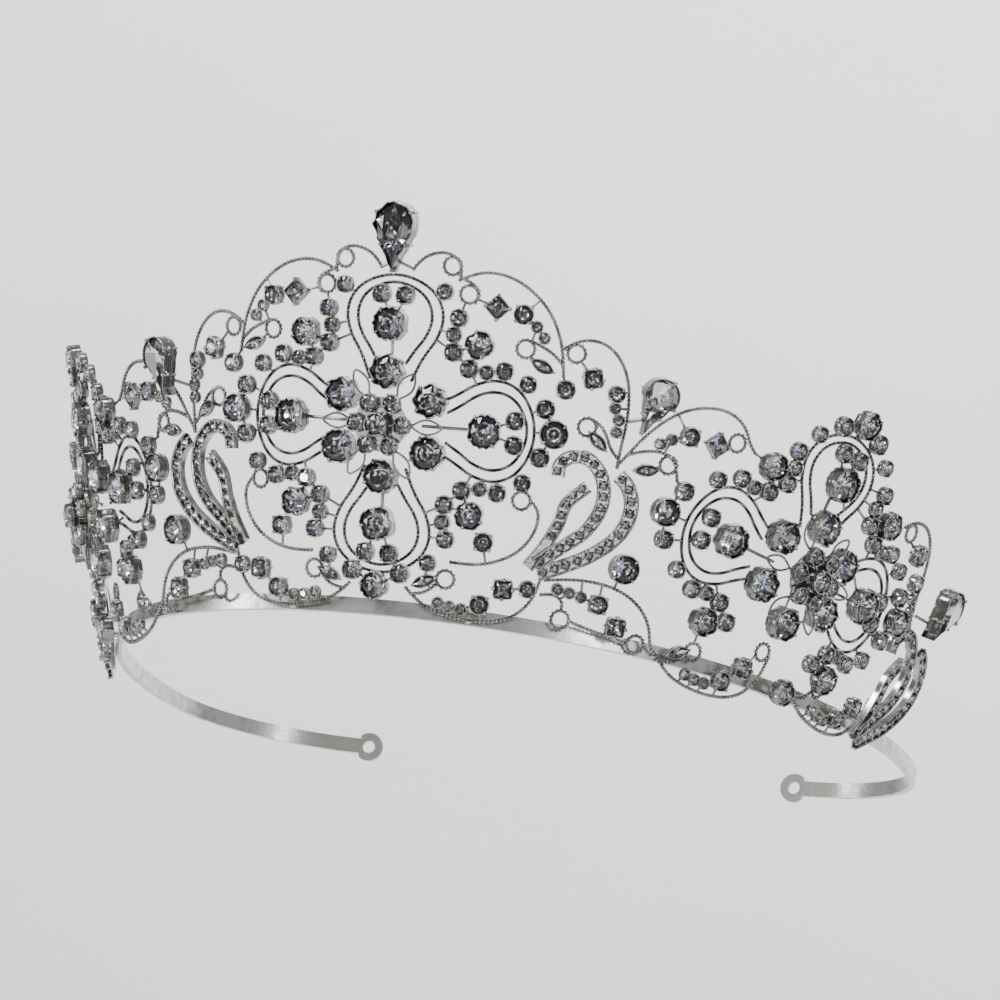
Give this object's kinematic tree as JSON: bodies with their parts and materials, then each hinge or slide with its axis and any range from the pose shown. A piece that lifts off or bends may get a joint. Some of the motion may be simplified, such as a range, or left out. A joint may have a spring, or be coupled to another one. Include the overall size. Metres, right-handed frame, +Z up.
{
  "type": "bridal tiara",
  "caption": "Bridal tiara of silver filigree scrolls, crystal flower medallions and drop stones on an open horseshoe band with end eyelets.",
  "frame": {"origin": "on the surface the tiara stands on, under the middle of its width and of its depth", "axes": "+X towards the wearer's left, the front faces -Y, +Z up"},
  "size_m": [0.1864, 0.1706, 0.079],
  "materials": {
    "band": "bright rhodium plate, fine polishing marks",
    "wire": "rhodium-plated beaded and twisted wire, darkened in the recesses",
    "ribbon": "polished rhodium plate",
    "settings": "rhodium-plated cups and prongs",
    "crystal": "clear faceted crystal, foiled behind"
  },
  "bodies": {
    "root": {"base_band": "band", "centre_cluster_settings": "settings", "centre_cluster_stones": "crystal", "centre_flower_settings": "settings", "centre_flower_stones": "crystal", "centre_leaf_loops": "wire", "centre_pear_setting": "settings", "centre_pear_stone": "crystal", "centre_petal_settings": "settings", "centre_petal_stones": "crystal", "centre_petal_wires": "wire", "centre_rosette_plate": "settings", "centre_rosette_settings": "settings", "centre_rosette_stones": "crystal", "left_cluster_settings": "settings", "left_cluster_stones": "crystal", "left_end_ribbon": "ribbon", "left_end_scrolls": "wire", "left_eyelet": "band", "left_flower_settings": "settings", "left_flower_stones": "crystal", "left_front_ribbon": "ribbon", "left_leaf_loops": "wire", "left_lower_scrolls": "wire", "left_petal_settings": "settings", "left_petal_stones": "crystal", "left_petal_wires": "wire", "left_rosette_plate": "settings", "left_rosette_settings": "settings", "left_rosette_stones": "crystal", "left_upper_scrolls": "wire", "navette_settings": "settings", "navette_stones": "crystal", "ribbon_stones": "crystal", "right_cluster_settings": "settings", "right_cluster_stones": "crystal", "right_end_ribbon": "ribbon", "right_end_scrolls": "wire", "right_eyelet": "band", "right_flower_settings": "settings", "right_flower_stones": "crystal", "right_front_ribbon": "ribbon", "right_leaf_loops": "wire", "right_lower_scrolls": "wire", "right_petal_settings": "settings", "right_petal_stones": "crystal", "right_petal_wires": "wire", "right_rosette_plate": "settings", "right_rosette_settings": "settings", "right_rosette_stones": "crystal", "right_upper_scrolls": "wire", "scroll_cup_stones": "crystal", "scroll_cups": "settings", "scroll_pronged_settings": "settings", "scroll_pronged_stones": "crystal", "side_pear_setting": "settings", "side_pear_stone": "crystal", "square_settings": "settings", "square_stones": "crystal"}
  },
  "joints": []
}
